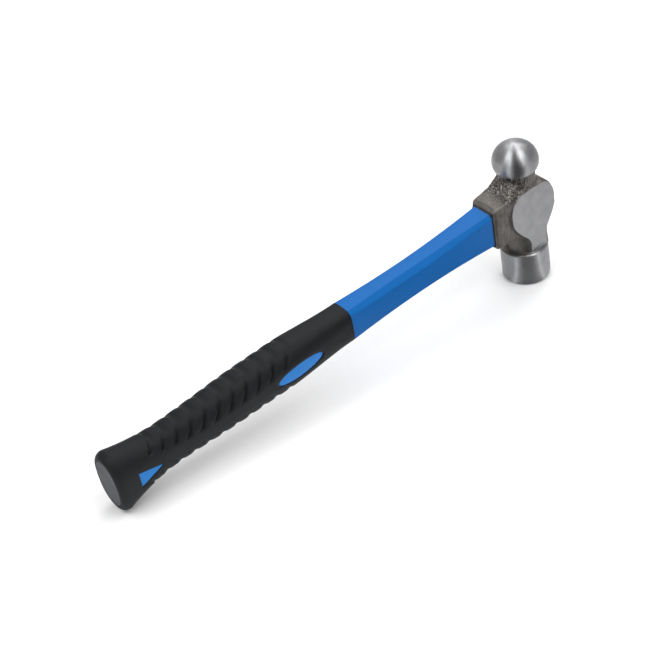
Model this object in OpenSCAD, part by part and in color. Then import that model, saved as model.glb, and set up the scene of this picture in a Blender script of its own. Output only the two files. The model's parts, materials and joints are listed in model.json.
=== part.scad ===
// Ball peen hammer: a forged steel head on a fibreglass handle with a moulded jacket and grip.
// Millimetres, +Z up. The origin is the centre of the flat striking face. The head's axis is +Z,
// with the ball at the top, and the handle leaves the head along -X at a right angle to it.
// The hammer is the same on both sides of the plane Y = 0.

/* [Head] */
// Height of the handle's axis above the striking face
axis_z = 53.5; // [50:0.5:56]
// Diameter of the ball across the head's axis
ball_d = 28.8; // [26:0.2:30]
// Half height of the ball, which is a little flattened
ball_half_h = 12.9; // [12:0.1:14]
// Height of the ball's centre above the handle's axis
ball_up = 32.6; // [31:0.1:34]
// Diameter of the striking poll
poll_d = 30.4; // [29:0.2:32]
// Length of the poll's cylindrical wall
poll_len = 21.2; // [19:0.2:22]
// Diameter of the waist between the poll and the cheeks
waist_d = 26.8; // [25:0.2:28]
// Distance between the two ground cheek flats
cheek_w = 24; // [23:0.5:25]
// Radius of the cheek boss, the short round drum across the head that carries the flats
cheek_r = 18.5; // [18.2:0.1:19.4]
// Reach of the handle socket from the head's axis
socket_x = 29.8; // [28.2:0.2:34]
// Width of the socket at its mouth
socket_w = 20; // [19.4:0.2:21]
// Height of the socket's top edge above the handle's axis
socket_up = 15.2; // [14.6:0.2:16]
// Depth of the socket's bottom edge below the handle's axis
socket_down = 14.2; // [14:0.2:15]

/* [Handle] */
// Diameter of the fibreglass rod
core_d = 9.6; // [8:0.2:11]
// Half width of the jacket where it leaves the socket
jacket_y = 8.5; // [8:0.1:8.8]
// Half height of the jacket where it leaves the socket
jacket_z = 12.5; // [11.5:0.1:12.8]
// Half width of the jacket at its thinnest
throat_y = 7.9; // [7.6:0.1:8.4]
// Half height of the jacket at its thinnest
throat_z = 10.7; // [10.4:0.1:11.4]

/* [Grip] */
// Distance from the head's axis to the grip's front edge
grip_x = 142.5; // [138:0.5:148]
// Distance from the head's axis to the butt face
butt_x = 312; // [308:0.5:318]
// Half width of the grip's swell
swell_y = 11.8; // [11.2:0.1:12.2]
// Half height of the grip's swell
swell_z = 14.3; // [13.8:0.1:15]
// Half height of the flared butt
lip_z = 20.4; // [19:0.2:21]
// Spacing of the finger grooves along the grip
groove_pitch = 9.6; // [9:0.1:10]
// Depth of the finger grooves
groove_depth = 0.8; // [0.4:0.1:1.2]
// Length of the oval side inlay
oval_len = 34; // [30:0.5:36]
// Height of the oval side inlay
oval_h = 9.4; // [8:0.2:10]

/* [Hidden] */

$fn = 96;
// Clearance between pieces that fit together
gap = 0.05;
poll_edge = 0.8;                    // chamfer on the striking face
poll_top = poll_len + poll_edge;    // height of the poll's upper rim
ledge = 0.9;                        // height of the slope from the poll's rim to the waist
ball_z = axis_z + ball_up;
waist_x = 1.6;                      // the waist leans away from the handle
neck_r = 11.8;
under_a = 20;                       // angle below the ball's equator where its underside starts
cheek_round = 4;                    // rounding of the cheek boss, outside the ground flats
cheek_up = 1.8;                     // height of the cheek boss's centre above the handle's axis
shoulder_up = 16;                   // top edge of the cheek flats above the handle's axis
shoulder_a = 29;                    // slope of the shoulders from there to the neck
front_x = 17.4;                     // face of the pad around the far end of the eye
front_pad_y = 9;
front_pad_z = 10.2;

// The eye runs right through the head along X, and narrows past the head's axis
eye_y = 8.5;
eye_z = 12.5;
eye_front_y = 6.2;
eye_front_z = 8.4;
eye_r = 2;
epoxy_front = 16.9;
core_front = 12;                    // the rod runs this far past the head's axis
core_back = 288;

// The jacket's tenon inside the eye, and the seal around it
tenon_x = 24;
tenon_y = 7.3;
tenon_z = 11.3;
tenon_r = 1.4;
seal_x = 27;                        // inner face of the seal
seal_proud = 0.9;                   // how far the seal stands out of the socket

// The jacket between the socket and the grip has cut corners
throat_x = 95;
head_cut = 2;                       // corner cut at the socket
throat_cut = 3.3;                   // corner cut at the throat
grip_cut = 2.8;                     // corner cut at the grip
bend = 0.35;                        // softness of the cut corners' edges
jacket_steps = 14;

// The jacket under the grip, a flat-sided tongue with round edges
tongue_r = 6.2;
tongue_z = 3.2;
tongue_end = 300;

// Grip sections from front to back: front edge, swell, thin part, and the lip of the butt
front_y = 9;
front_z = 11.7;
front_step_y = 0.4;                 // how far the grip stands out of the jacket at its front edge
front_step_z = 0.4;
front_edge = 0.3;                   // rounding of the grip's front edge
soft_x = 175;                       // the boxy front section has turned oval here
swell_x = 205;
neck_x = 270;
neck_y = 10.5;
neck_z = 13.5;
lip_x = 307;
lip_y = 12.8;
lip_up = -2.3;
sag_x = 215;                        // from here to the lip the sections move down by lip_up,
sag_end = 245;                      // and this share of it is done at sag_end
sag_share = 0.25;
ring_points = 40;
groove_first = 186.8;               // where the first groove crosses the top of the grip
groove_lag = 0.3;                   // pitches by which the grooves below lie behind those above
groove_count = 11;
chevron = 11.5;                     // how far a groove sweeps back from the top to the side
groove_rows = 50;

// The inlays and the cap
inlay_up = -1.6;                    // the inlays sit a little below the handle's axis
inlay_in = 7;                       // inner face of an inlay, from the plane Y = 0
oval_x = 184;                       // centre of the oval inlay
rear_x = 298;                       // base of the triangular rear inlay
rear_len = 15.5;
rear_h = 10.4;
rear_up = -2.6;
cap_t = 3;                          // thickness of the butt cap
cap_y = 9.8;
cap_z = 16;
cap_up = -2;

function ramp(v, a, b) = min(max((v - a) / (b - a), 0), 1);
function ease(t) = t * t * (3 - 2 * t);
function mix(a, b, t) = a + (b - a) * t;
function sgnpow(v, e) = sign(v) * pow(abs(v), e);
function arc(r, h, a0, a1, n) =
    [for (i = [0:n]) let (a = mix(a0, a1, i / n)) [r * cos(a), h * sin(a)]];
function shift(points, dx, dy) = [for (p = points) [p[0] + dx, p[1] + dy]];

// A closed skin through rings of points that all have the same count
module skin(rings) {
    n = len(rings[0]);
    last = len(rings) - 1;
    points = [for (ring = rings, p = ring) p];
    sides = [for (i = [0:last - 1], j = [0:n - 1])
        let (a = i * n + j, b = i * n + (j + 1) % n, c = a + n, d = b + n)
        each [[a, d, c], [a, b, d]]];
    ends = [[for (j = [n - 1:-1:0]) j], [for (j = [0:n - 1]) last * n + j]];
    polyhedron(points, concat(sides, ends));
}

// A box along X with rounded edges, from x0 to x1
module rounded_bar(half_y, half_z, r, x0, x1) {
    length = x1 - x0;
    translate([x0, 0, axis_z]) {
        translate([0, -half_y, r - half_z]) cube([length, 2 * half_y, 2 * (half_z - r)]);
        translate([0, r - half_y, -half_z]) cube([length, 2 * (half_y - r), 2 * half_z]);
        for (y = [-1, 1], z = [-1, 1])
            translate([0, y * (half_y - r), z * (half_z - r)]) rotate([0, 90, 0]) cylinder(r = r, h = length);
    }
}

// A flat-sided bar along X whose top and bottom are half round
module round_edged_bar(r, half_z, x0, x1) {
    length = x1 - x0;
    translate([x0, 0, axis_z]) {
        translate([0, -r, -half_z]) cube([length, 2 * r, 2 * half_z]);
        for (z = [-1, 1]) translate([0, 0, z * half_z]) rotate([0, 90, 0]) cylinder(r = r, h = length);
    }
}

// The poll, neck and ball, turned about the head's axis, and the round waist beside them
module turned_parts() {
    ball = shift(arc(ball_d / 2, ball_half_h, -under_a, 90, 28), 0, ball_z);
    rotate_extrude() polygon(concat(
        [[0, 0], [poll_d / 2 - poll_edge, 0], [poll_d / 2, poll_edge], [poll_d / 2, poll_top],
         [poll_d / 2 - 0.5, poll_top + 0.5], [neck_r, poll_top + ledge],
         [neck_r, ball[0][1] - 0.4], [neck_r + 0.8, ball[0][1] - 0.1]],
        ball));
    translate([waist_x, 0, poll_top]) cylinder(d = waist_d, h = axis_z - 14 - poll_top);
}

// The round boss that carries the two cheeks, before they are ground flat
module cheek_boss() {
    half = cheek_w / 2 + 1.6;
    round_edge = shift(arc(cheek_round, cheek_round, 90, 0, 10), cheek_r - cheek_round, half - cheek_round);
    difference() {
        translate([0, 0, axis_z + cheek_up]) rotate([90, 0, 0]) rotate_extrude()
            polygon(concat([[0, -half], [0, half]], round_edge,
                           [for (i = [10:-1:0]) [round_edge[i][0], -round_edge[i][1]]]));
        for (side = [-1, 1])
            translate([0, side * cheek_w / 2, axis_z + shoulder_up]) rotate([-side * shoulder_a, 0, 0])
                translate([-cheek_r - 1, -cheek_w, 0]) cube([2 * cheek_r + 2, 2 * cheek_w, cheek_r]);
    }
}

// The sloping web between the ball and the top of the socket, with leaning sides
module web() {
    translate([0, 0, axis_z]) intersection() {
        rotate([90, 0, 0]) linear_extrude(cheek_w, center = true)
            polygon([[-27, 8], [-27, socket_up - 0.2], [-17, 16.4], [-8.5, 25], [-4, 25], [-4, 8]]);
        rotate([90, 0, -90]) linear_extrude(socket_x)
            polygon([[-11.7, 8], [-11.7, 12], [-7.6, 25.1], [7.6, 25.1], [11.7, 12], [11.7, 8]]);
    }
}

// The socket that holds the handle, drawn in a little towards its mouth
module socket() {
    r = 2.4;
    mouth = [-socket_x, socket_w / 2, socket_up, -socket_down];
    root = [-10 - 2 * r, 10.8, 16.5, -15];
    translate([0, 0, axis_z]) hull() for (s = [mouth, root], y = [-1, 1], z = [s[2] - r, s[3] + r])
        translate([s[0] + r, y * (s[1] - r), z]) sphere(r = r, $fn = 32);
}

// The hole for the handle, or the filling of it when grown by a negative amount
module eye(grow, x0, x1) {
    middle = min(max(0, x0), x1);
    rounded_bar(eye_y + grow, eye_z + grow, eye_r, x0, middle);
    rounded_bar(eye_front_y + grow, eye_front_z + grow, eye_r, middle - 1, x1);
}

module head() {
    margin = 5;
    color([0.55, 0.53, 0.51])
    difference() {
        union() {
            turned_parts();
            cheek_boss();
            web();
            socket();
            rounded_bar(front_pad_y, front_pad_z, 2, 0, front_x);
        }
        for (y = [-1, 1]) translate([-cheek_r - margin, y * (cheek_w / 2 + margin) - margin, poll_top + ledge])
            cube([2 * (cheek_r + margin), 2 * margin, axis_z + cheek_r - poll_top - ledge]);
        translate([front_x, -front_pad_y, axis_z - front_pad_z])
            cube([margin, 2 * front_pad_y, 2 * front_pad_z]);
        eye(0, -socket_x - margin, cheek_r + margin);
    }
}

// The epoxy that fills the eye around the rod, and ends a little inside the far end of the eye
module eye_epoxy() {
    color([0.16, 0.16, 0.17])
    difference() {
        eye(-gap, -tenon_x + gap, epoxy_front);
        rod(gap, -tenon_x - 1, core_front + gap);
    }
}

// The rubber collar that closes the joint between the jacket and the socket
module eye_seal() {
    color([0.05, 0.06, 0.12])
    difference() {
        rounded_bar(eye_y - gap, eye_z - gap, eye_r, -socket_x - seal_proud, -seal_x);
        rounded_bar(tenon_y + gap, tenon_z + gap, tenon_r, -socket_x - 2, -seal_x + 1);
    }
}

// A round bar on the handle's axis, grown by a clearance
module rod(grow, x0, x1) {
    translate([x0, 0, axis_z]) rotate([0, 90, 0]) cylinder(r = core_d / 2 + grow, h = x1 - x0);
}

module fibreglass_core() {
    color([0.85, 0.8, 0.6]) rod(0, -core_back, core_front);
}

// One cut corner of the jacket in two short bends, listed anticlockwise seen from +X
function jacket_corner(y, z, cut) =
    let (sy = sign(y), sz = sign(z), near = 0.4 * bend, far = cut - 0.6 * bend,
         side = [[y, z - sz * (cut + bend)], [y - sy * near, z - sz * far]],
         top = [[y - sy * far, z - sz * near], [y - sy * (cut + bend), z]])
    sy * sz > 0 ? concat(side, top) : [top[1], top[0], side[1], side[0]];

// Jacket outline at distance x from the head: a rectangle with its corners cut
function jacket_ring(x) =
    let (out = 1 - pow(1 - ramp(x, socket_x, throat_x), 2), back = pow(ramp(x, throat_x, grip_x), 2),
         y = mix(mix(jacket_y, throat_y, out), front_y - front_step_y, back),
         z = mix(mix(jacket_z, throat_z, out), front_z - front_step_z, back),
         cut = mix(mix(head_cut, throat_cut, out), grip_cut, back))
    [for (q = [[y, z], [-y, z], [-y, -z], [y, -z]], p = jacket_corner(q[0], q[1], cut))
        [-x, p[0], axis_z + p[1]]];

module handle_jacket() {
    front = socket_x + seal_proud + gap;
    color([0.13, 0.42, 0.72])
    difference() {
        union() {
            rounded_bar(tenon_y, tenon_z, tenon_r, -front - 1, -tenon_x);
            skin([for (i = [0:jacket_steps]) jacket_ring(mix(front, grip_x, i / jacket_steps))]);
            round_edged_bar(tongue_r, tongue_z, -tongue_end, -grip_x + 1);
        }
        rod(gap, -core_back - gap, -tenon_x + 1);
    }
}

// A value that is eased from the grip's front to its swell, and from there to the butt
function along(x, front, swell, neck, lip) =
    mix(mix(front, swell, ease(ramp(x, grip_x, swell_x - 12))),
        mix(neck, lip, pow(ramp(x, neck_x, lip_x), 2)),
        ease(ramp(x, swell_x + 15, neck_x)));
function grip_y(x) = along(x, front_y, swell_y, neck_y, lip_y);
function grip_z(x) = along(x, front_z, swell_z, neck_z, lip_z);
function grip_up(x) =
    lip_up * mix(sag_share * ramp(x, sag_x, sag_end), 1, pow(ramp(x, sag_end, lip_x), 2.5));
function grip_power(x) = mix(0.5, mix(0.7, 0.84, ramp(x, soft_x, lip_x)), ramp(x, grip_x, soft_x));

// Depth of the grooves at distance x and angle a around the grip, where a = 0 is the middle of a side.
// They leave a smooth band along each side, and sweep back from the top and from the bottom.
function groove(x, a) =
    let (s = abs(sin(a)), below = sin(a) < 0, lag = below ? groove_lag : 0,
         fade = (below ? 0.6 : 1) * ease(ramp(s, 0.2, 0.45)),
         u = (x - groove_first - chevron * (1 - s)) / groove_pitch - lag,
         inside = ease(ramp(u, -0.6, 0)) * ease(ramp(u, groove_count, groove_count - 1)))
    groove_depth * fade * inside * pow(0.5 + 0.5 * cos(360 * u), 2);

// One ring of the grip's surface, drawn in by an inset and with the grooves sunk to a depth
function grip_ring(x, inset_y, inset_z, up, grooves) =
    [for (i = [0:ring_points - 1])
        let (a = 360 * i / ring_points, e = grip_power(x), d = grooves * groove(x, a),
             y = (grip_y(x) - inset_y - d) * sgnpow(cos(a), e),
             z = (grip_z(x) - inset_z - d) * sgnpow(sin(a), e))
        [-x, y, axis_z + up + z]];

// The grip's outside: a rounded front edge, the grooved length, and a rim rounded to the butt face
module grip_outside() {
    front = [for (a = [60:-30:0]) let (inset = front_edge * (1 - cos(a)))
        grip_ring(grip_x + gap + front_edge * (1 - sin(a)), inset, inset, 0, 1)];
    smooth = [for (i = [0:4]) grip_ring(mix(grip_x + 2, groove_first - 3, i / 4), 0, 0, 0, 1)];
    grooved_end = groove_first + chevron + groove_pitch * (groove_count - 0.5);
    grooved = [for (i = [0:groove_rows])
        let (x = mix(groove_first, grooved_end, i / groove_rows)) grip_ring(x, 0, 0, grip_up(x), 1)];
    waist = [for (x = [grooved_end + 2:2:lip_x - 2]) grip_ring(x, 0, 0, grip_up(x), 0)];
    rim = [for (a = [0:15:90]) let (t = 1 - cos(a))
        grip_ring(mix(lip_x, butt_x, sin(a)), t * (lip_y - cap_y), t * (lip_z - cap_z - 0.2),
                  mix(lip_up, cap_up, t), 0)];
    skin(concat(front, smooth, grooved, waist, rim));
}

// A smooth stretch of the grip's outside, without its grooves
module grip_stretch(x0, x1) {
    steps = 7;
    skin([for (i = [0:steps]) let (x = mix(x0, x1, i / steps)) grip_ring(x, 0, 0, grip_up(x), 0)]);
}

// Outline of the oval inlay in the side view, grown by extra on every side
module oval_outline(extra) {
    polygon(shift(arc(oval_len / 2 + extra, oval_h / 2 + extra, 0, 350, 35), -oval_x, axis_z + inlay_up));
}

// Outline of the rear inlay, a blunt triangle that points towards the head
module triangle_outline(extra) {
    base = rear_h / 2 + extra;
    tip = 0.6 + extra;
    translate([-rear_x, axis_z + rear_up]) polygon([
        [-extra, base], [-extra, -base], [rear_len + extra, -tip], [rear_len + extra, tip]]);
}

// A bar with the outline of its child in the side view, from y = from to the outside of the grip
module side_bar(side, from) {
    depth = swell_y + 4 - from;
    translate([0, side > 0 ? from + depth : -from, 0]) rotate([90, 0, 0]) linear_extrude(depth) children();
}

// An inlay whose face follows the grip, and whose outline in the side view is its child
module inlay(side, x0, x1) {
    color([0.22, 0.5, 0.85])
    intersection() {
        grip_stretch(x0, x1);
        side_bar(side, inlay_in) children();
    }
}

module oval_inlay(side) {
    inlay(side, oval_x - oval_len / 2 - 1, oval_x + oval_len / 2 + 1) oval_outline(-gap);
}

module rear_inlay(side) {
    inlay(side, rear_x - rear_len - 1, rear_x + 1) triangle_outline(-gap);
}

module oval_inlay_left() { oval_inlay(1); }
module oval_inlay_right() { oval_inlay(-1); }
module rear_inlay_left() { rear_inlay(1); }
module rear_inlay_right() { rear_inlay(-1); }

module grip_sleeve() {
    color([0.15, 0.16, 0.17])
    difference() {
        grip_outside();
        round_edged_bar(tongue_r + gap, tongue_z, -tongue_end - gap, -grip_x + 1);
        for (side = [-1, 1]) {
            side_bar(side, inlay_in - gap) oval_outline(0);
            side_bar(side, inlay_in - gap) triangle_outline(0);
        }
        translate([cap_t + gap - butt_x, 0, 0]) cap_shape(0, cap_t + 1);
    }
}

// An oval plate whose face looks along -X, with its inner face at x = 0
module cap_shape(inset, t) {
    translate([0, 0, axis_z + cap_up]) rotate([0, -90, 0])
        linear_extrude(t) polygon(arc(cap_z - inset, cap_y - inset, 0, 352.5, 47));
}

module butt_cap() {
    color([0.33, 0.34, 0.36])
    translate([-butt_x + cap_t, 0, 0]) cap_shape(gap, cap_t);
}

head();
eye_epoxy();
eye_seal();
fibreglass_core();
handle_jacket();
grip_sleeve();
oval_inlay_left();
oval_inlay_right();
rear_inlay_left();
rear_inlay_right();
butt_cap();
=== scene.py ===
"""Ball peen hammer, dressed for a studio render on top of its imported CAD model.

The scene works in the model's own frame: +Z up, the origin at the centre of the striking face, the
ball at the top and the handle along -X. Shapes are drawn in millimetres, and MM makes metres of them.
In the shapes, "up" is a height above the handle's axis, and the x of the jacket, the grip and the
inlays is a distance from the head's axis towards the butt.
"""

import json
import math

import bpy
import numpy as np
from mathutils import Matrix, Vector


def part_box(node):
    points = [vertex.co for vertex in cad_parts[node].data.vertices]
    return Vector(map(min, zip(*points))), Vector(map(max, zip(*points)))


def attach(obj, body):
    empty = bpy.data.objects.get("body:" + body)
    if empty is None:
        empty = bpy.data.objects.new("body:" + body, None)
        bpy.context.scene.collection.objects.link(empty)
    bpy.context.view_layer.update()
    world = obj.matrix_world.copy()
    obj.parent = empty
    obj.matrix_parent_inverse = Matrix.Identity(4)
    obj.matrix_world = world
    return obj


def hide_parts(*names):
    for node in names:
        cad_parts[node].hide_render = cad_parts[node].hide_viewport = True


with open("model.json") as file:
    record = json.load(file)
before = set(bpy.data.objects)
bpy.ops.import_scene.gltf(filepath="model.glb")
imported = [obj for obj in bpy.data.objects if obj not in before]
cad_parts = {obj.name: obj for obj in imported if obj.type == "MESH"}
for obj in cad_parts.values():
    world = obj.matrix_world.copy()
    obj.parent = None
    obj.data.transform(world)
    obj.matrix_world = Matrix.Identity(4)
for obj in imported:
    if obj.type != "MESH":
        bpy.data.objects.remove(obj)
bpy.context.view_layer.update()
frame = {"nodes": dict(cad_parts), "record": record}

MM = 0.001
SEED = 7
GAP = 0.05                  # clearance between CAD pieces that fit together


def cad_box(node):
    """Lowest and highest corner of a CAD node in millimetres."""
    low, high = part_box(node)
    return np.array(low) / MM, np.array(high) / MM


def mount(name):
    """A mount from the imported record: its place in millimetres, and its dimensions."""
    found = next(m for m in frame["record"]["mounts"] if m["name"] == name)
    return np.array(found["pos_m"]) / MM, found["dims"]


cheek_place, _ = mount("cheek_left")
poll_place, poll_dims = mount("poll")
AXIS = cheek_place[2]       # height of the handle's axis above the striking face
CHEEK_Y = cheek_place[1]    # the ground flats lie at this distance from the plane Y = 0

# Head
head_low, head_high = cad_box("head")
BALL_R = 14.4
BALL_HALF_H = 12.9
BALL_UP = head_high[2] - BALL_HALF_H - AXIS
UNDERSIDE = 4.6             # the ball is cut this far below its equator
POLL_R = poll_dims["r_mm"]
POLL_TOP = poll_place[2] + poll_dims["length_mm"] / 2
POLL_EDGE = poll_place[2] - poll_dims["length_mm"] / 2
POLL_RIM = 0.75             # height of the slope from the poll's wall to the waist
WAIST_X = 2.4               # the waist leans away from the handle
WAIST_R = 13.4
NECK_R = 11.8
BOSS_R = head_high[0]       # the boss is the round drum across the head that carries the flats
BOSS_HALF = 13.6
BOSS_ROUND = 4.0
BOSS_X = 0.4
BOSS_UP = 1.8
SHOULDER_UP = 16.0          # top edge of the cheek flats
SHOULDER_SLOPE = math.radians(29)
SOCKET_X = head_low[0]
HEAD_STEP = 0.42      # cell of the head's mesh

# Eye
_, epoxy_high = cad_box("eye_epoxy")
EPOXY_SUNK = 0.5            # the epoxy ends this far inside the far end of the eye
EYE_BACK = (epoxy_high[1] + GAP, epoxy_high[2] - AXIS + GAP)
EYE_FRONT = (6.2, 8.4)
FRONT_X = epoxy_high[0] + EPOXY_SUNK
FRONT_PAD = (9.0, 10.2)     # half width and half height of the pad around the far end

# Jacket: half width, half height and corner cut at the socket, at its thinnest and at the grip
seal_low, _ = cad_box("eye_seal")
grip_low, grip_high = cad_box("grip_sleeve")
JACKET_START = -seal_low[0]
THROAT_X = 95.0
GRIP_X = -grip_high[0] - GAP
JACKET_SOCKET = (8.5, 12.5, 2.0)
JACKET_THROAT = (7.9, 10.7, 3.3)
JACKET_GRIP = (8.6, 11.3, 2.8)
JACKET_ROUND = 0.7

# Grip: half width and half height at the front, the swell, the thin part and the lip of the butt
SWELL_START = 193.0
SWELL_END = 220.0
THIN_X = 270.0
LIP_X = 307.0
BUTT_X = -grip_low[0]
FRONT_SIZE = (9.0, 11.7)
SWELL_SIZE = (11.8, 14.3)
THIN_SIZE = (10.5, 13.5)
LIP_SIZE = (grip_high[1], (grip_high[2] - grip_low[2]) / 2)
LIP_UP = (grip_high[2] + grip_low[2]) / 2 - AXIS
SAG_X = 215.0               # from here to the lip the sections move down by LIP_UP,
SAG_END = 245.0             # and this share of it is done at SAG_END
SAG_SHARE = 0.25
SOFT_X = 175.0              # the boxy front section has turned oval here
FRONT_EDGE = 0.3            # rounding of the grip's front edge

# Finger grooves
PITCH = 9.6
GROOVE_FIRST = 186.8        # where the first groove crosses the top of the grip
GROOVE_LAG = 0.3            # pitches by which the grooves below lie behind those above
GROOVE_COUNT = 11
CHEVRON = 11.5              # how far a groove sweeps back from the top to the side
GROOVE_DEPTH = 2.0
DEPTH_BELOW = 0.34          # share of the full depth on the lower half
DEPTH_ON_TOP = 0.32         # share of the full depth on the very top
BAND_BELOW = 0.22           # lower edge of the smooth side band, as the sine of the angle

# Windows in the grip, and the inlays and the cap in them
LIP_DEPTH = 0.3             # the rubber dips towards the edge of a window
LIP_WIDTH = 0.8
INLAY_SUNK = 0.55           # how far an inlay lies below the rubber
WINDOW_Y = (7.4, 16.0)      # reach of the window cutters, from the plane Y = 0
cap_low, cap_high = cad_box("butt_cap")
CAP_SIZE = (cap_high[1] + GAP, (cap_high[2] - cap_low[2]) / 2 + GAP)
CAP_UP = (cap_high[2] + cap_low[2]) / 2 - AXIS


def window(node):
    """The window of an inlay in the side view: its middle's x and up, half length and half height."""
    low, high = cad_box(node)
    middle, half = (low + high) / 2, (high - low) / 2 + GAP
    return -middle[0], middle[2] - AXIS, half[0], half[2]


OVAL = window("oval_inlay_right")
TRIANGLE = window("rear_inlay_right")
TIP_HALF = 0.6              # half height of the triangle's blunt tip
TIP_ROUND = 0.55

# Studio
CAMERA_AZ = math.radians(-31.74)
LIGHTS = (                  # name, azimuth, elevation, size in metres, watts
    ("key_left", -95, 60, (0.7, 0.7), 8.5),
    ("key_right", 32, 60, (0.7, 0.7), 8),
    ("strip_left", -67, 32, (0.16, 1.0), 1.9),
    ("strip_right", 4, 32, (0.16, 1.0), 2.1),
    ("back", 130, 50, (0.9, 0.6), 8),
)

# Colours
JACKET_BLUE = (0.003, 0.104, 0.352)
INLAY_BLUE = (0.021, 0.182, 0.535)
GRIP_BLACK = (0.0085, 0.0095, 0.0115)
CAP_GREY = (0.08, 0.084, 0.092)
SEAL_BLACK = (0.01, 0.012, 0.02)
EPOXY_BLACK = (0.03, 0.03, 0.032)
GLASS_YELLOW = (0.7, 0.62, 0.4)
FORGED_DARK = (0.14, 0.131, 0.122)
FORGED_LIGHT = (0.22, 0.208, 0.195)
FORGED_GRAIN = (0.08, 0.073, 0.067)
PIT_BLACK = (0.03, 0.028, 0.027)
FLECK_GREY = (0.36, 0.33, 0.31)
GROUND_DARK = (0.25, 0.251, 0.262)
GROUND_LIGHT = (0.295, 0.296, 0.305)
PAPER_DARK = (0.84, 0.84, 0.84)
PAPER_LIGHT = (0.86, 0.86, 0.86)
WEDGE_GREY = (0.03, 0.03, 0.03)


# ---------------------------------------------------------------- arithmetic

def ramp(v, a, b):
    """Rises evenly from 0 to 1 while v goes from a to b."""
    return np.clip((np.asarray(v, float) - a) / (b - a), 0, 1)


def ease(t):
    return t * t * (3 - 2 * t)


def mix(a, b, t):
    return a + (b - a) * t


def signed_power(v, e):
    return np.sign(v) * np.abs(v) ** e


def smooth_min(a, b, k):
    """The lower of two distances, with a fillet of about size k where they meet."""
    h = np.maximum(k - np.abs(a - b), 0) / k
    return np.minimum(a, b) - h * h * k / 4


def rounded_box(offsets, r):
    """Distance to a box with rounded edges, from the signed distances to its unrounded face pairs."""
    q = np.stack(offsets) + r
    return np.linalg.norm(np.maximum(q, 0), axis=0) + np.minimum(q.max(0), 0) - r


def ellipse_distance(offsets, sizes):
    """Rough distance to an ellipse or an ellipsoid, from the offsets to its middle and its half sizes."""
    near = np.linalg.norm(np.stack([v / size for v, size in zip(offsets, sizes)]), axis=0)
    slope = np.linalg.norm(np.stack([v / size ** 2 for v, size in zip(offsets, sizes)]), axis=0)
    return near * (near - 1) / np.maximum(slope, 1e-6)


class Noise:
    """Smooth random values in space, from -1 to 1, that repeat every 32 cells."""

    CELLS = 32

    def __init__(self, seed):
        self.table = np.random.default_rng(seed).uniform(-1, 1, (self.CELLS,) * 3)

    def __call__(self, p, size):
        q = p / size
        cell = np.floor(q).astype(int)
        t = ease(q - cell)
        value = 0
        for corner in np.ndindex(2, 2, 2):
            c = np.array(corner)
            weight = np.prod(np.where(c == 1, t, 1 - t), axis=1)
            i, j, k = ((cell + c) % self.CELLS).T
            value = value + weight * self.table[i, j, k]
        return value


# ---------------------------------------------------------------- meshes

def link(thing):
    bpy.context.scene.collection.objects.link(thing)
    return thing


def shade(mesh, flat_angle):
    """Smooth shading, with sharp edges where the surface bends by more than flat_angle degrees."""
    mesh.polygons.foreach_set("use_smooth", [True] * len(mesh.polygons))
    if flat_angle is not None:
        mesh.set_sharp_from_angle(angle=math.radians(flat_angle))


def make_mesh(name, points, faces, flat_angle=None):
    """A closed mesh from points in millimetres, turned so that its faces look outward."""
    mesh = bpy.data.meshes.new(name)
    mesh.from_pydata((np.asarray(points) * MM).tolist(), [], [list(map(int, f)) for f in faces])
    mesh.calc_loop_triangles()
    corners = np.array([t.vertices[:] for t in mesh.loop_triangles])
    a, b, c = (np.asarray(points)[corners[:, k]] for k in range(3))
    if np.einsum("ij,ij->i", a, np.cross(b, c)).sum() < 0:
        mesh.flip_normals()
    shade(mesh, flat_angle)
    return mesh


def make_piece(name, points, faces, material, node, flat_angle=None, attributes=None):
    """A piece that rides on the hammer and stands for a CAD node."""
    mesh = make_mesh(name, points, faces, flat_angle)
    for key, values in (attributes or {}).items():
        attribute = mesh.attributes.new(key, "FLOAT", "POINT")
        attribute.data.foreach_set("value", values.astype(np.float32))
    mesh.materials.append(material)
    piece = link(bpy.data.objects.new(name, mesh))
    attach(piece, "root")
    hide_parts(node)
    return piece


def loft_faces(rows, columns):
    """Quads between rings of equal counts, and one polygon at each end."""
    i, j = np.meshgrid(np.arange(rows - 1), np.arange(columns), indexing="ij")
    a = (i * columns + j).ravel()
    b = (i * columns + (j + 1) % columns).ravel()
    faces = np.stack([a, a + columns, b + columns, b], 1).tolist()
    faces.append(list(range(columns)))
    faces.append([(rows - 1) * columns + k for k in range(columns - 1, -1, -1)])
    return faces


def gradient(field, points, eps=0.02):
    """Slope of a distance field at points, and its value there."""
    slope = np.empty_like(points)
    for k in range(3):
        step = np.zeros(3)
        step[k] = eps
        slope[:, k] = (field(*(points + step).T) - field(*(points - step).T)) / (2 * eps)
    return slope, field(*points.T)


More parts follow.
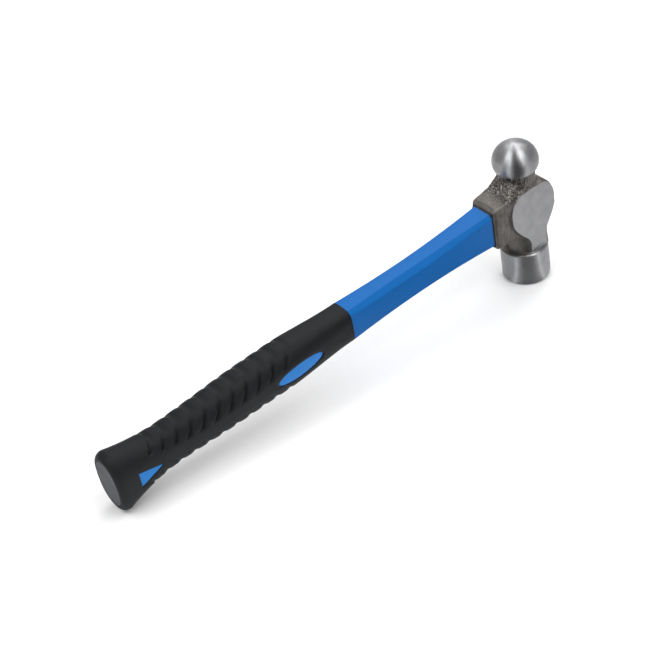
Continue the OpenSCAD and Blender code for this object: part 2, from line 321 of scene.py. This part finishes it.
def level_surface(field, low, high, step):
    """Quads over the zero level of a distance field, one point to each cell that the level crosses.
    A point starts in the middle of the crossings on its cell's edges, and then moves onto the level."""
    counts = np.ceil((high - low) / step).astype(int) + 1
    axes = [low[k] + step * np.arange(counts[k]) for k in range(3)]
    value = np.empty(counts)
    for i, x in enumerate(axes[0]):
        y, z = np.meshgrid(axes[1], axes[2], indexing="ij")
        value[i] = field(np.full(y.shape, x), y, z)
    inside = value < 0
    cells = tuple(counts - 1)
    filled = np.zeros(cells, int)
    for c in np.ndindex(2, 2, 2):
        filled += inside[tuple(slice(c[k], c[k] + cells[k]) for k in range(3))]
    mixed = (filled > 0) & (filled < 8)
    index = np.full(cells, -1)
    index[mixed] = np.arange(mixed.sum())
    total = np.zeros((mixed.sum(), 3))
    hits = np.zeros(mixed.sum())
    faces = []
    for axis in range(3):
        before = [slice(None)] * 3
        after = [slice(None)] * 3
        before[axis], after[axis] = slice(None, -1), slice(1, None)
        a, b = value[tuple(before)], value[tuple(after)]
        edge = np.argwhere((a < 0) != (b < 0))
        va, vb = a[tuple(edge.T)], b[tuple(edge.T)]
        point = edge.astype(float)
        point[:, axis] += va / (va - vb)
        u, v = (axis + 1) % 3, (axis + 2) % 3
        quad = []
        for du, dv in ((0, 0), (-1, 0), (-1, -1), (0, -1)):
            cell = edge.copy()
            cell[:, u] += du
            cell[:, v] += dv
            k = index[tuple(cell.T)]
            np.add.at(total, k, point)
            np.add.at(hits, k, 1)
            quad.append(k)
        quad = np.stack(quad, 1)
        faces.append(np.where((va < 0)[:, None], quad, quad[:, ::-1]))
    points = low + step * total / hits[:, None]
    for _ in range(3):
        slope, d = gradient(field, points)
        steepness = np.maximum((slope ** 2).sum(1), 0.2)
        points -= (np.clip(d, -step, step) / steepness)[:, None] * slope
    return points, np.concatenate(faces)


# ---------------------------------------------------------------- head

def ball_field(x, y, up):
    ball = ellipse_distance((x, y, up - BALL_UP), (BALL_R, BALL_R, BALL_HALF_H))
    return -smooth_min(-ball, up - BALL_UP + UNDERSIDE, 1.2)


def poll_field(r, z):
    chamfer = (r - z - (POLL_R - POLL_EDGE)) / math.sqrt(2)
    rim = (r + z - (POLL_R + POLL_TOP)) / math.sqrt(2)
    return np.maximum.reduce([r - POLL_R, -z, chamfer, rim, z - POLL_TOP - POLL_RIM])


def waist_field(x, y, up):
    radius = WAIST_R + 0.005 * (up + 25) ** 2
    return np.maximum(np.hypot(x - WAIST_X, y) - radius, np.abs(up + 20) - 12)


def neck_field(r, up):
    radius = mix(NECK_R - 0.9, NECK_R, ramp(up, 18, 27))
    return np.maximum(r - radius, np.abs(up - 20) - 8.3)


def boss_field(x, y, up):
    """The round boss with its rounded edges, cut by the shoulders that slope up to the neck."""
    drum = rounded_box([np.hypot(x - BOSS_X, up - BOSS_UP) - BOSS_R, np.abs(y) - BOSS_HALF], BOSS_ROUND)
    rise = (up - SHOULDER_UP) * math.cos(SHOULDER_SLOPE)
    shoulder = rise + (np.abs(y) - CHEEK_Y) * math.sin(SHOULDER_SLOPE)
    return -smooth_min(-drum, -shoulder, 2.0)


def socket_field(x, y, up):
    """The handle socket, drawn in a little towards its mouth, with a bevel along its upper front edge."""
    t = ramp(x, SOCKET_X, -10)
    half_y = mix(10.0, 10.7, t)
    top = mix(15.1, 16.2, ramp(x, SOCKET_X, -18))
    bottom = mix(-14.2, -15.0, t)
    middle, half_z = (top + bottom) / 2, (top - bottom) / 2
    ends = np.abs(x - (SOCKET_X - 2) / 2) + (SOCKET_X + 2) / 2
    box = rounded_box([ends, np.abs(y) - half_y, np.abs(up - middle) - half_z], 1.7)
    bevel = (up - top - x + SOCKET_X) / math.sqrt(2) + 1.6
    return -smooth_min(-box, -bevel, 1.5)


def web_field(x, y, up):
    """The sloping web between the ball and the top of the socket, a little crowned, with leaning sides."""
    shelf, slope, crown = 1.2 * ramp(x, -27, -17), 8.6 * ramp(x, -17, -8.5), 0.9 * (1 - (y / 8) ** 2)
    top = (up - (14.6 + shelf + slope + crown)) * 0.85
    side = np.abs(y) - mix(9.6, 11.7, ramp(x, -26, -14)) + 0.32 * np.maximum(up - 12, 0)
    ends = np.maximum.reduce([-x - 27.0, x + 5, 6 - up])
    return np.maximum(-smooth_min(-top, -side, 3.0), ends)


def pad_field(x, y, up):
    """The flat pad around the far end of the eye."""
    pad = rounded_box([x - FRONT_X, np.abs(y) - FRONT_PAD[0], np.abs(up) - FRONT_PAD[1]], 2.0)
    return np.maximum(pad, -x)


def eye_field(x, y, up):
    """The hole for the handle, which narrows past the head's axis."""
    back = rounded_box([x, np.abs(y) - EYE_BACK[0], np.abs(up) - EYE_BACK[1]], 0.5)
    front = rounded_box([np.abs(y) - EYE_FRONT[0], np.abs(up) - EYE_FRONT[1]], 2.0)
    return np.minimum(back, front)


def head_field(x, y, z):
    up = z - AXIS
    r = np.hypot(x, y)
    body = smooth_min(boss_field(x, y, up), socket_field(x, y, up), 0.9)
    body = smooth_min(body, web_field(x, y, up), 1.5)
    body = smooth_min(body, waist_field(x, y, up), 8.0)
    body = smooth_min(body, neck_field(r, up), 2.5)
    body = smooth_min(body, pad_field(x, y, up), 1.5)
    body = np.maximum(body, np.abs(y) - CHEEK_Y)
    whole = np.minimum(smooth_min(body, poll_field(r, z), 0.5), ball_field(x, y, up))
    return np.maximum(whole, -eye_field(x, y, up))


def ground_share(points):
    """1 where the steel is ground bright, 0 where it is left as forged."""
    x, y, z = points.T
    up = z - AXIS
    above_cut = ramp(up, BALL_UP - UNDERSIDE, BALL_UP - UNDERSIDE + 0.5)
    on_ball = (1 - ramp(np.abs(ball_field(x, y, up)), 0.05, 0.35)) * above_cut
    scuffed = 1.6 * ramp(np.abs(y), 11, 12.5) * ramp(x, -6, -3)
    on_poll = 1 - ramp(z - scuffed, POLL_TOP - 0.1, POLL_TOP + 0.2)
    on_flat = ramp(np.abs(y), CHEEK_Y - 0.25, CHEEK_Y - 0.02) * (up < 25) * (z > POLL_TOP)
    return np.maximum.reduce([on_ball, on_poll, on_flat])


def build_head(material):
    margin = np.array([2.0, 1.5, 1.5])
    low = np.array([SOCKET_X, -POLL_R, 0]) - margin
    high = np.array([FRONT_X, POLL_R, AXIS + BALL_UP + BALL_HALF_H]) + margin
    points, faces = level_surface(head_field, low, high, HEAD_STEP)
    slope, _ = gradient(head_field, points, 0.1)
    normal = slope / np.maximum(np.linalg.norm(slope, axis=1), 1e-6)[:, None]
    x, y, z = points.T
    up = z - AXIS
    r = np.hypot(x, y)
    ground = ground_share(points)
    rough = 1 - ground
    noise = Noise(SEED)
    streak = np.stack([np.arctan2(y, x) * 13 + 0.25 * up, r * 0.35, up * 0.38], 1)
    crumple = 1.3 * noise(streak, 1.0) + 0.7 * noise(points, 1.1) + 0.4 * noise(points, 2.3)
    under_ball = ease(ramp(up, 12, 16)) * (1 - ramp(r, 18, 25)) * ramp(-x, -2, 6)
    lumps = 0.12 * noise(points, 4.5) + 0.05 * noise(points, 1.6)
    depth = rough * (lumps + 0.3 * under_ball * crumple)
    points = points + normal * depth[:, None]
    return make_piece("head_forging", points, faces, material, "head",
                      attributes={"ground": ground, "crumple": under_ball * rough})


# ---------------------------------------------------------------- jacket

def rounded_outline(corners, r, n):
    """Points along a polygon (anticlockwise), with each corner replaced by an arc of radius r."""
    points = []
    count = len(corners)
    for k in range(count):
        here = np.array(corners[k])
        a = np.array(corners[k - 1]) - here
        b = np.array(corners[(k + 1) % count]) - here
        a, b = a / np.linalg.norm(a), b / np.linalg.norm(b)
        half = math.acos(np.clip(a @ b, -1, 1)) / 2
        centre = here + (a + b) / np.linalg.norm(a + b) * r / math.sin(half)
        start = here + a * r / math.tan(half) - centre
        stop = here + b * r / math.tan(half) - centre
        for t in np.linspace(0, 1, n):
            step = mix(start, stop, t)
            points.append(centre + step / np.linalg.norm(step) * r)
    return np.array(points)


def jacket_ring(x):
    """The jacket's outline at distance x: a rectangle with its corners cut and softened."""
    out = float(1 - (1 - ramp(x, -SOCKET_X, THROAT_X)) ** 2)
    back = float(ramp(x, THROAT_X, GRIP_X) ** 2)
    y, z, cut = (mix(mix(socket, throat, out), grip, back)
                 for socket, throat, grip in zip(JACKET_SOCKET, JACKET_THROAT, JACKET_GRIP))
    corners = []
    for sy, sz in ((1, 1), (-1, 1), (-1, -1), (1, -1)):
        side, top = (sy * y, sz * (z - cut)), (sy * (y - cut), sz * z)
        corners += [side, top] if sy * sz > 0 else [top, side]
    outline = rounded_outline(corners, JACKET_ROUND, 7)
    return np.column_stack([np.full(len(outline), -x), outline[:, 0], outline[:, 1] + AXIS])


def build_jacket(material):
    rings = [jacket_ring(x) for x in np.linspace(JACKET_START, GRIP_X + 0.1, 90)]
    faces = loft_faces(len(rings), len(rings[0]))
    return make_piece("jacket_shell", np.concatenate(rings), faces, material,
                      "handle_jacket", flat_angle=50)


# ---------------------------------------------------------------- grip

def along(x, front, swell, thin, lip):
    """A size that is eased from the grip's front to its swell, and from there to the lip of the butt."""
    swelling = mix(front, swell, ease(ramp(x, GRIP_X, SWELL_START)))
    flare = mix(thin, lip, ramp(x, THIN_X, LIP_X) ** 2)
    return mix(swelling, flare, ease(ramp(x, SWELL_END, THIN_X)))


def grip_size(x):
    """Half width, half height and upward shift of the grip, and the power of its outline, at distance x."""
    half_y, half_z = (along(x, *sizes) for sizes in zip(FRONT_SIZE, SWELL_SIZE, THIN_SIZE, LIP_SIZE))
    shift = LIP_UP * mix(SAG_SHARE * ramp(x, SAG_X, SAG_END), 1, ramp(x, SAG_END, LIP_X) ** 2.5)
    power = mix(0.53, mix(0.7, 0.84, ramp(x, SOFT_X, LIP_X)), ramp(x, GRIP_X, SOFT_X))
    return half_y, half_z, shift, power


def band_edge(x):
    """Upper edge of the smooth band along the side, as the sine of the angle. It rises near the butt."""
    return 0.08 + 0.1 * (1 - ramp(x, 195, 215)) + 0.5 * ramp(x, 250, 290) ** 2


def groove(x, a):
    """Depth of the finger grooves at angle a around the grip, as a share of the full depth. The ribs lie
    like shingles: each one starts with a steep step behind a groove, and sinks towards the next groove."""
    s = np.abs(np.sin(a))
    below = np.sin(a) < 0
    start = np.where(below, BAND_BELOW, band_edge(x))
    above_share = mix(1.0, DEPTH_ON_TOP, ease(ramp(s, 0.5, 0.82)))
    fade = ease(ramp(s, start, start + 0.1)) * np.where(below, DEPTH_BELOW, above_share)
    u = (x - GROOVE_FIRST - CHEVRON * (1 - s)) / PITCH - GROOVE_LAG * below
    t = u - np.floor(u)
    step = mix(0.15, 0.34, ease(ramp(s, 0.45, 0.75)))
    sinking = 0.35 * ramp(t, step, 1) ** 2 + 0.65 * ease(ramp(t, 0.68, 0.92))
    shape = np.where(t < step, 1 - ease(t / step), sinking)
    first = ease(ramp(u, -0.6, -0.1)) * mix(0.8, 1, ease(ramp(u, 0.2, 0.7)))
    return fade * shape * first * (u < GROOVE_COUNT - 1 + 0.12)


def oval_distance(x, up):
    """Rough distance to the oval window's outline, negative inside."""
    centre_x, centre_up, half_x, half_up = OVAL
    return ellipse_distance((x - centre_x, up - centre_up), (half_x, half_up))


def triangle_distance(x, up):
    """Distance to the triangular window's outline, negative inside. The base faces the butt."""
    centre_x, centre_up, half_length, half_base = TRIANGLE
    slope = math.atan2(half_base - TIP_HALF, 2 * half_length)
    edge = np.abs(up - centre_up) - mix(TIP_HALF, half_base, (x - centre_x + half_length) / (2 * half_length))
    return np.maximum(np.abs(x - centre_x) - half_length, edge * math.cos(slope))


def grip_points(x, a, inset=(0.0, 0.0), up=None):
    """Points on the grip at distance x from the head and angle a around it, drawn in by an inset."""
    x = x + 0 * a
    half_y, half_z, shift, e = grip_size(x)
    shift = shift if up is None else up
    side = half_z * signed_power(np.sin(a), e) + shift
    lip = np.minimum(np.abs(oval_distance(x, side)), np.abs(triangle_distance(x, side)))
    sunk = GROOVE_DEPTH * groove(x, a) + LIP_DEPTH * np.exp(-(lip / LIP_WIDTH) ** 2)
    y = (half_y - inset[0] - sunk) * signed_power(np.cos(a), e)
    z = (half_z - inset[1] - sunk) * signed_power(np.sin(a), e)
    return np.stack([-x, y, AXIS + shift + z], -1)


def grip_side(x, up):
    """Half width of the grip, without its grooves, at distance x and height up."""
    half_y, half_z, shift, e = grip_size(x)
    return half_y * (1 - np.minimum(np.abs((up - shift) / half_z), 1) ** (2 / e)) ** (e / 2)


def oval_outline(count):
    turn = np.linspace(0, 2 * np.pi, count, endpoint=False)
    return np.stack([OVAL[0] - OVAL[2] * np.cos(turn), OVAL[1] + OVAL[3] * np.sin(turn)], 1)


def triangle_outline(count):
    """The triangle with rounded corners, anticlockwise seen from -Y with the head to the right."""
    centre_x, centre_up, half_length, half_base = TRIANGLE
    base, tip = -centre_x - half_length, -centre_x + half_length
    corners = [(base, centre_up + half_base), (base, centre_up - half_base),
               (tip, centre_up - TIP_HALF), (tip, centre_up + TIP_HALF)]
    outline = rounded_outline(corners, TIP_ROUND, count // 4)
    return np.stack([-outline[:, 0], outline[:, 1]], 1)


def cut_windows(grip, outlines):
    """Cuts a window through both sides of the rubber for each outline."""
    cutters = []
    for outline in outlines:
        for side in (-1, 1):
            rings = [np.stack([-outline[:, 0], np.full(len(outline), side * y), AXIS + outline[:, 1]], 1)
                     for y in WINDOW_Y]
            mesh = make_mesh("cutter", np.concatenate(rings), loft_faces(2, len(outline)))
            cutters.append(link(bpy.data.objects.new("cutter", mesh)))
            cut = grip.modifiers.new("window", "BOOLEAN")
            cut.operation, cut.solver, cut.object = "DIFFERENCE", "EXACT", cutters[-1]
    shown = grip.evaluated_get(bpy.context.evaluated_depsgraph_get())
    mesh = bpy.data.meshes.new_from_object(shown)
    grip.modifiers.clear()
    grip.data = mesh
    for cutter in cutters:
        bpy.data.objects.remove(cutter)
    shade(mesh, 50)


def build_grip(material):
    """The rubber, from its rounded front edge to the rim of the butt and the pocket for the cap."""
    columns = 240
    a = np.linspace(0, 2 * np.pi, columns, endpoint=False)
    rings = []
    for turn in np.radians(np.linspace(90, 0, 7)):
        inset = FRONT_EDGE * (1 - math.cos(turn))
        rings.append(grip_points(GRIP_X + 2 * FRONT_EDGE * (1 - math.sin(turn)), a, (inset, inset)))
    for x in np.arange(GRIP_X + 1.5, LIP_X, 0.45):
        rings.append(grip_points(x, a))
    narrowing = (LIP_SIZE[0] - CAP_SIZE[0] - 0.1, LIP_SIZE[1] - CAP_SIZE[1] - 0.3)
    for turn in np.radians(np.linspace(0, 90, 13)):
        t = 1 - math.cos(turn)
        inset = (t * narrowing[0], t * narrowing[1])
        rings.append(grip_points(mix(LIP_X, BUTT_X, math.sin(turn)), a, inset, mix(LIP_UP, CAP_UP, t)))
    last = rings[-1]
    centre = np.array([-BUTT_X, 0, AXIS + CAP_UP])
    for depth, share in ((0.2, 0.985), (1.2, 0.98), (1.3, 0.9)):
        rings.append(centre + (last - centre) * share + np.array([depth, 0, 0]))
    faces = loft_faces(len(rings), columns)
    grip = make_piece("grip_rubber", np.concatenate(rings), faces, material, "grip_sleeve")
    cut_windows(grip, [oval_outline(96), triangle_outline(48)])
    return grip


def build_inlay(name, outline, middle, side, material, node):
    """A pad that sits a little below the rubber, follows the grip's side and has a rounded rim."""
    rim_from, rim_width, rim_drop = 0.94, 0.05, 0.45
    rings = [(share, 0.0) for share in np.linspace(0.04, rim_from, 10)]
    for turn in np.radians(np.linspace(15, 90, 6)):
        rings.append((rim_from + rim_width * math.sin(turn), rim_drop * (1 - math.cos(turn))))
    rings.append((0.985, 2.5))
    points = []
    for share, drop in rings:
        flat = middle + (outline - middle) * share
        depth = grip_side(flat[:, 0], flat[:, 1]) - INLAY_SUNK - drop
        points.append(np.stack([-flat[:, 0], side * depth, AXIS + flat[:, 1]], 1))
    faces = loft_faces(len(rings), len(outline))
    return make_piece(name, np.concatenate(points), faces, material, node, flat_angle=60)


def build_inlays(material):
    base_x = TRIANGLE[0] + TRIANGLE[2]
    middles = {"oval": np.array(OVAL[:2]), "rear": np.array([base_x - 5.5, TRIANGLE[1]])}
    outlines = {"oval": oval_outline(96), "rear": triangle_outline(48)}
    for side, hand in ((1, "left"), (-1, "right")):
        for kind in ("oval", "rear"):
            build_inlay(f"{kind}_pad_{hand}", outlines[kind], middles[kind], side, material,
                        f"{kind}_inlay_{hand}")


def build_cap(material):
    """The oval plate in the butt, with a rounded edge and a face that dishes in very slightly."""
    turn = np.linspace(0, 2 * np.pi, 96, endpoint=False)
    e = 0.86
    half_y, half_z = CAP_SIZE[0] - 0.15, CAP_SIZE[1] - 0.15
    dish = [(0.02, 0.25), (0.3, 0.22), (0.6, 0.12), (0.85, 0.03), (0.95, 0.0)]
    edge = [(0.975, 0.03), (0.99, 0.12), (0.995, 0.3), (0.995, 1.3)]
    rings = []
    for share, sink in dish + edge:
        y = share * half_y * signed_power(np.cos(turn), e)
        z = share * half_z * signed_power(np.sin(turn), e)
        rings.append(np.stack([np.full(len(turn), sink - BUTT_X), y, AXIS + CAP_UP + z], 1))
    faces = loft_faces(len(rings), len(turn))
    return make_piece("butt_plate", np.concatenate(rings), faces, material, "butt_cap",
                      flat_angle=50)


# ---------------------------------------------------------------- shader nodes

def node_tree(name):
    material = bpy.data.materials.new(name)
    material.use_nodes = True
    tree = material.node_tree
    return material, tree, tree.nodes["Principled BSDF"]


def add(tree, kind, **settings):
    node = tree.nodes.new(kind)
    for key, value in settings.items():
        setattr(node, key, value)
    return node


def feed(tree, socket, value):
    """Gives a socket a number, a colour or the output of another node."""
    if isinstance(value, bpy.types.NodeSocket):
        tree.links.new(value, socket)
    elif isinstance(value, tuple) and socket.type == "RGBA":
        socket.default_value = (*value, 1)
    else:
        socket.default_value = value


def noise_node(tree, scale, detail=4.0, stretch=(1, 1, 1)):
    """Noise on the object's own millimetres; scale counts the cells in a millimetre."""
    coordinates = add(tree, "ShaderNodeTexCoord")
    mapping = add(tree, "ShaderNodeMapping")
    mapping.inputs["Scale"].default_value = [scale * s / MM for s in stretch]
    noise = add(tree, "ShaderNodeTexNoise")
    noise.inputs["Scale"].default_value = 1.0
    noise.inputs["Detail"].default_value = detail
    tree.links.new(coordinates.outputs["Object"], mapping.inputs["Vector"])
    tree.links.new(mapping.outputs["Vector"], noise.inputs["Vector"])
    return noise.outputs["Fac"]


def remap(tree, value, a, b, low, high):
    """Rises evenly from low to high while value goes from a to b."""
    node = add(tree, "ShaderNodeMapRange")
    names = ("Value", "From Min", "From Max", "To Min", "To Max")
    for key, number in zip(names, (value, a, b, low, high)):
        feed(tree, node.inputs[key], number)
    return node.outputs["Result"]


def blend_colours(tree, factor, a, b):
    node = add(tree, "ShaderNodeMix", data_type="RGBA")
    factor_socket, socket_a, socket_b = node.inputs[0], node.inputs[6], node.inputs[7]
    for socket, value in ((factor_socket, factor), (socket_a, a), (socket_b, b)):
        feed(tree, socket, value)
    return node.outputs[2]


def blend_values(tree, factor, a, b):
    node = add(tree, "ShaderNodeMix")
    factor_socket, socket_a, socket_b = node.inputs[0], node.inputs[2], node.inputs[3]
    for socket, value in ((factor_socket, factor), (socket_a, a), (socket_b, b)):
        feed(tree, socket, value)
    return node.outputs[0]


def math_node(tree, operation, a, b):
    node = add(tree, "ShaderNodeMath", operation=operation)
    for socket, value in zip(node.inputs, (a, b)):
        feed(tree, socket, value)
    return node.outputs[0]


def vector_node(tree, operation, a, b=None):
    node = add(tree, "ShaderNodeVectorMath", operation=operation)
    feed(tree, node.inputs[0], a)
    if b is not None:
        feed(tree, node.inputs[1], b)
    return node


def bump(tree, shader, height, distance_mm, normal=None):
    node = add(tree, "ShaderNodeBump")
    node.inputs["Strength"].default_value = 1.0
    node.inputs["Distance"].default_value = distance_mm * MM
    tree.links.new(height, node.inputs["Height"])
    if normal is not None:
        tree.links.new(normal, node.inputs["Normal"])
    tree.links.new(node.outputs["Normal"], shader.inputs["Normal"])
    return node.outputs["Normal"]


def camera_side(tree, vector):
    """Cosine of the angle, seen from above, between a direction and the way to the camera."""
    flat = vector_node(tree, "MULTIPLY", vector, (1, 1, 0)).outputs[0]
    unit = vector_node(tree, "NORMALIZE", flat).outputs[0]
    to_camera = (math.sin(CAMERA_AZ), -math.cos(CAMERA_AZ), 0)
    return vector_node(tree, "DOT_PRODUCT", unit, to_camera).outputs["Value"]


def between(tree, cosine, wide, narrow, low=0, high=1):
    """Rises from low to high while an angle, given by its cosine, falls from wide to narrow degrees."""
    return remap(tree, cosine, math.cos(math.radians(wide)), math.cos(math.radians(narrow)), low, high)


# ---------------------------------------------------------------- materials

def forged_colour(tree, wide, grain, crumple):
    """Brown-grey steel with a streaky grain, and with dark pits and bright flecks in the crumpled part."""
    pitting = noise_node(tree, 1.25, 3, (1, 1, 0.4))
    pits = math_node(tree, "MULTIPLY", crumple, remap(tree, pitting, 0.40, 0.54, 0.85, 0))
    flecks = math_node(tree, "MULTIPLY", crumple, remap(tree, pitting, 0.54, 0.68, 0, 0.9))
    colour = blend_colours(tree, remap(tree, wide, 0.3, 0.7, 0, 1), FORGED_DARK, FORGED_LIGHT)
    colour = blend_colours(tree, remap(tree, grain, 0.35, 0.65, 0, 0.55), colour, FORGED_GRAIN)
    colour = blend_colours(tree, pits, colour, PIT_BLACK)
    return blend_colours(tree, flecks, colour, FLECK_GREY)


def steel():
    """Ground satin steel and brown-grey forged steel, told apart by the head's own ground attribute.
    The grinding marks run around the head's axis, and draw the highlights out along it."""
    material, tree, shader = node_tree("head_steel")
    ground = add(tree, "ShaderNodeAttribute", attribute_name="ground").outputs["Fac"]
    crumple = add(tree, "ShaderNodeAttribute", attribute_name="crumple").outputs["Fac"]
    wide = noise_node(tree, 0.16, 3)
    fine = noise_node(tree, 2.2, 3)
    grain = noise_node(tree, 1.1, 4, (1, 1, 0.16))
    rings = noise_node(tree, 1.0, 2, (0.02, 0.02, 5.0))
    forged = forged_colour(tree, wide, grain, crumple)
    bright = blend_colours(tree, remap(tree, wide, 0.35, 0.65, 0, 1), GROUND_DARK, GROUND_LIGHT)
    tree.links.new(blend_colours(tree, ground, forged, bright), shader.inputs["Base Color"])
    shader.inputs["Metallic"].default_value = 1.0
    rough_forged = remap(tree, fine, 0.3, 0.7, 0.5, 0.66)
    rough_ground = remap(tree, rings, 0.3, 0.7, 0.33, 0.45)
    tree.links.new(blend_values(tree, ground, rough_forged, rough_ground), shader.inputs["Roughness"])
    tree.links.new(math_node(tree, "MULTIPLY", ground, 0.85), shader.inputs["Anisotropic"])
    tree.links.new(remap(tree, rings, 0.3, 0.7, 0.22, 0.28), shader.inputs["Anisotropic Rotation"])
    place = add(tree, "ShaderNodeNewGeometry").outputs["Position"]
    circle = vector_node(tree, "CROSS_PRODUCT", (0, 0, 1), place).outputs[0]
    tree.links.new(circle, shader.inputs["Tangent"])
    relief = math_node(tree, "MULTIPLY", grain, math_node(tree, "SUBTRACT", 1.0, ground))
    forged_normal = bump(tree, shader, relief, 0.12)
    bump(tree, shader, math_node(tree, "MULTIPLY", rings, ground), 0.03, forged_normal)
    return material


def plastic(name, colour, roughness, speck, speck_scale, bump_mm, shine=0.3):
    """A moulded plastic or rubber, with faint mottling and a fine moulded grain."""
    material, tree, shader = node_tree(name)
    wide = noise_node(tree, 0.08, 4)
    fine = noise_node(tree, speck_scale, 3)
    dark = tuple(c * (1 - speck) for c in colour)
    base = blend_colours(tree, remap(tree, wide, 0.3, 0.7, 0, 1), dark, colour)
    tree.links.new(base, shader.inputs["Base Color"])
    spread = remap(tree, fine, 0.3, 0.7, roughness - 0.06, roughness + 0.06)
    tree.links.new(spread, shader.inputs["Roughness"])
    shader.inputs["Specular IOR Level"].default_value = shine
    bump(tree, shader, fine, bump_mm)
    return material


def paper():
    """White paper. Polished steel sees a dark wedge of it towards the camera, with a bright band on each
    side, as a photographer's black card gives; and the camera sees it fade to plain white far away."""
    material, tree, shader = node_tree("floor_paper")
    grain = remap(tree, noise_node(tree, 0.5, 3), 0.3, 0.7, 0, 1)
    colour = blend_colours(tree, grain, PAPER_DARK, PAPER_LIGHT)
    path = add(tree, "ShaderNodeLightPath").outputs
    place = add(tree, "ShaderNodeNewGeometry").outputs["Position"]
    reach = vector_node(tree, "LENGTH", place).outputs["Value"]
    side = camera_side(tree, place)
    wedge = math_node(tree, "MULTIPLY", between(tree, side, 40, 22), remap(tree, reach, 0.03, 0.09, 0.6, 1))
    wedge = math_node(tree, "MULTIPLY", wedge, path["Is Glossy Ray"])
    tree.links.new(blend_colours(tree, wedge, colour, WEDGE_GREY), shader.inputs["Base Color"])
    band = math_node(tree, "MULTIPLY", between(tree, side, 56, 46), between(tree, side, 45, 36, 1, 0))
    band = math_node(tree, "MULTIPLY", band, path["Is Glossy Ray"])
    away = math_node(tree, "MULTIPLY", remap(tree, reach, 0.45, 0.9, 0, 1), path["Is Camera Ray"])
    glow = math_node(tree, "ADD", math_node(tree, "MULTIPLY", band, 0.9), away)
    tree.links.new(glow, shader.inputs["Emission Strength"])
    shader.inputs["Emission Color"].default_value = (1, 1, 1, 1)
    shader.inputs["Roughness"].default_value = 0.9
    shader.inputs["Specular IOR Level"].default_value = 0.1
    return material


# ---------------------------------------------------------------- studio

def build_floor():
    """The hammer rests on the rim of its face and the lower edge of its butt, so the floor leans a little."""
    face_rim_x, butt_rim_x, butt_rim_z, below = 14.0, 305.0, 30.3, 0.4
    lean = math.atan2(butt_rim_z, butt_rim_x - face_rim_x)
    half = 6.0
    mesh = bpy.data.meshes.new("floor")
    mesh.from_pydata([(-half, -half, 0), (half, -half, 0), (half, half, 0), (-half, half, 0)], [],
                     [(0, 1, 2, 3)])
    mesh.materials.append(paper())
    floor = link(bpy.data.objects.new("floor", mesh))
    place = Matrix.Translation((-face_rim_x * MM, 0, -below * MM))
    floor.matrix_world = place @ Matrix.Rotation(lean, 4, "Y")


def direction_from(azimuth, elevation):
    """The way to a light or the camera, with azimuth 0 on the -Y side."""
    level = math.cos(elevation)
    return Vector((math.sin(azimuth) * level, -math.cos(azimuth) * level, math.sin(elevation)))


def area_light(name, place, target, size, power):
    data = bpy.data.lights.new(name, "AREA")
    data.shape = "RECTANGLE"
    data.size, data.size_y = size
    data.energy = power
    light = link(bpy.data.objects.new(name, data))
    light.rotation_mode = "QUATERNION"
    light.location = place
    light.rotation_quaternion = (target - place).to_track_quat("-Z", "Y")


def build_world():
    """An even grey sky, darker towards the camera, that the camera itself sees as plain white."""
    world = bpy.data.worlds.new("studio")
    bpy.context.scene.world = world
    world.use_nodes = True
    tree = world.node_tree
    background = tree.nodes["Background"]
    direction = add(tree, "ShaderNodeTexCoord").outputs["Generated"]
    seen = add(tree, "ShaderNodeLightPath").outputs["Is Camera Ray"]
    sky = between(tree, camera_side(tree, direction), 42, 20, 0.46, 0.05)
    tree.links.new(blend_values(tree, seen, sky, 1.0), background.inputs["Strength"])
    background.inputs["Color"].default_value = (1, 1, 1, 1)


def build_lights():
    middle = Vector((-0.12, 0, 0.05))
    reach = 1.3
    for name, azimuth, elevation, size, power in LIGHTS:
        turn, lift = math.radians(azimuth), math.radians(elevation)
        area_light(name, middle + direction_from(turn, lift) * reach, middle, size, power)


def build_camera():
    azimuth, elevation, roll = CAMERA_AZ, math.radians(40.75), math.radians(11.99)
    distance, focal_px, width_px, sensor_mm = 0.978, 1700.24, 650, 36
    target = Vector((-0.1558, 0, 0.0598))
    back = direction_from(azimuth, elevation)
    level = Vector((math.cos(azimuth), math.sin(azimuth), 0))
    rise = back.cross(level)
    right = math.cos(roll) * level - math.sin(roll) * rise
    top = math.sin(roll) * level + math.cos(roll) * rise
    data = bpy.data.cameras.new("camera")
    data.sensor_width = sensor_mm
    data.lens = sensor_mm * focal_px / width_px
    camera = link(bpy.data.objects.new("camera", data))
    turned = Matrix((right, top, back)).transposed().to_4x4()
    camera.matrix_world = Matrix.Translation(target + back * distance) @ turned
    bpy.context.scene.camera = camera


# ---------------------------------------------------------------- assembly

def dress_carried_nodes():
    """Materials for the CAD nodes that have no finer piece."""
    looks = {
        "eye_seal": ("seal_rubber", SEAL_BLACK, 0.55, 0.1, 2.0, 0.02),
        "eye_epoxy": ("epoxy", EPOXY_BLACK, 0.3, 0.1, 1.0, 0.05),
        "fibreglass_core": ("fibreglass", GLASS_YELLOW, 0.5, 0.1, 2.0, 0.05),
    }
    for node, (slot, *look) in looks.items():
        carried = frame["nodes"][node]
        carried.data.materials.clear()
        carried.data.materials.append(plastic(slot, *look))


build_head(steel())
build_jacket(plastic("jacket_blue", JACKET_BLUE, 0.38, 0.06, 2.0, 0.01, 0.09))
build_grip(plastic("grip_black", GRIP_BLACK, 0.55, 0.15, 3.0, 0.05, 0.14))
build_cap(plastic("cap_grey", CAP_GREY, 0.6, 0.25, 1.8, 0.12, 0.1))
build_inlays(plastic("inlay_blue", INLAY_BLUE, 0.42, 0.05, 2.0, 0.01, 0.12))
dress_carried_nodes()

bpy.context.scene.view_settings.view_transform = "Standard"
build_floor()
build_world()
build_lights()
build_camera()
